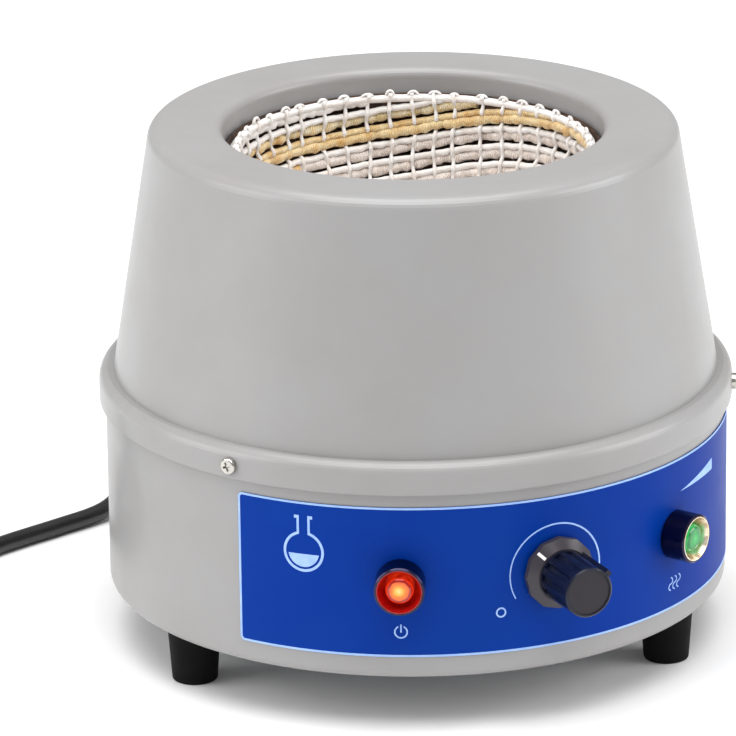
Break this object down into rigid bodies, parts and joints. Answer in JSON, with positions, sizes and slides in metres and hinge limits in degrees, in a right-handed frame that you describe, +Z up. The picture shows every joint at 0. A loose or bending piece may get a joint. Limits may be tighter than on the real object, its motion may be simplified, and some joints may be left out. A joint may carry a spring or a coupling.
{
  "type": "heating mantle",
  "caption": "Round heating mantle for a round bottom flask: grey cone housing over a drum base, with a knitted heating bowl, a control knob, pilot lamps and a mains lead.",
  "frame": {"origin": "on the table under the middle of the body, midway between the knob's front and the end of the strain relief at the back", "axes": "+Z is up out of the flask opening, -Y is the front with the control panel, +X is to the right as the panel is faced"},
  "size_m": [0.3483, 0.4202, 0.203],
  "materials": {
    "housing_paint": "light grey textured powder coat",
    "plate_steel": "zinc plated sheet",
    "foot_rubber": "moulded matt",
    "fixing_steel": "bright zinc",
    "label_film": "printed polyester, satin",
    "label_ink": "pale screen print",
    "glass_cloth": "knitted glass fibre yarn",
    "heater_wire": "nickel chrome strand",
    "bowl_aluminium": "spun",
    "wool": "ceramic fibre blanket",
    "ceramic": "glazed steatite",
    "knob_plastic": "black phenolic",
    "cap_plastic": "satin black",
    "pointer_paint": "white paint",
    "shaft_metal": "turned",
    "brass_part": "stamped",
    "pot_case": "pressed case",
    "bezel_plastic": "dark blue black",
    "red_reflector": "metallised red",
    "silver_reflector": "metallised",
    "red_lens": "translucent, lit",
    "green_lens": "translucent, lit",
    "bulb_glass": "neon lamp",
    "board_laminate": "glass epoxy",
    "nylon": "moulded",
    "heatsink_black": "black anodised",
    "chip_black": "moulded",
    "capacitor_yellow": "moulded box",
    "choke_copper": "enamelled copper winding",
    "fuse_glass": "glass tube",
    "terminal_green": "moulded",
    "mains_insulation": "pvc",
    "element_sleeve": "glass sleeve",
    "lead_insulation": "silicone",
    "cord_rubber": "black rubber sheath",
    "tie_fabric": "hook and loop",
    "plug_rubber": "moulded",
    "pin_metal": "nickel plated"
  },
  "bodies": {
    "mantle": {"base_housing": "housing_paint", "bottom_plate": "plate_steel", "foot_left": "foot_rubber", "foot_right": "foot_rubber", "foot_rear": "foot_rubber", "foot_screws": "fixing_steel", "foot_nuts": "fixing_steel", "plate_screws": "fixing_steel", "control_label": "label_film", "label_print": "label_ink", "case_screws": "fixing_steel", "case_nuts": "fixing_steel", "top_housing": "housing_paint", "heating_nest": "glass_cloth", "heating_element": "heater_wire", "inner_bowl": "bowl_aluminium", "insulation_wool": "wool", "heat_shield": "bowl_aluminium", "bracket_front": "plate_steel", "bracket_right": "plate_steel", "bracket_left": "plate_steel", "bracket_screws": "fixing_steel", "bowl_screws": "fixing_steel", "lead_bushing": "ceramic", "pot_body": "pot_case", "pot_nut": "fixing_steel", "power_lamp_bezel": "bezel_plastic", "power_lamp_reflector": "red_reflector", "power_lamp_lens": "red_lens", "power_lamp_bulb": "bulb_glass", "heat_lamp_bezel": "bezel_plastic", "heat_lamp_reflector": "silver_reflector", "heat_lamp_lens": "green_lens", "heat_lamp_bulb": "bulb_glass", "lamp_nuts": "nylon", "control_board": "board_laminate", "board_standoffs": "nylon", "triac": "chip_black", "heatsink": "heatsink_black", "capacitor": "capacitor_yellow", "choke": "choke_copper", "fuse": "fuse_glass", "fuse_clips": "brass_part", "terminal_block": "terminal_green", "mains_leads": "mains_insulation", "element_leads": "element_sleeve", "control_leads": "lead_insulation", "strain_relief": "plug_rubber", "mains_cord": "cord_rubber", "cord_coil": "cord_rubber", "coil_tie": "tie_fabric", "mains_plug": "plug_rubber", "plug_pins": "pin_metal"},
    "knob": {"control_knob": "knob_plastic", "knob_cap": "cap_plastic", "knob_pointer": "pointer_paint", "knob_grub_screw": "fixing_steel", "pot_shaft": "shaft_metal", "pot_wiper": "brass_part"}
  },
  "joints": [
    {"name": "knob_turn", "type": "hinge", "parent": "mantle", "child": "knob", "pos_m": [0, -0.125, 0.0605], "axis": [0, -1, 0], "range_deg": [-195, 75]}
  ]
}
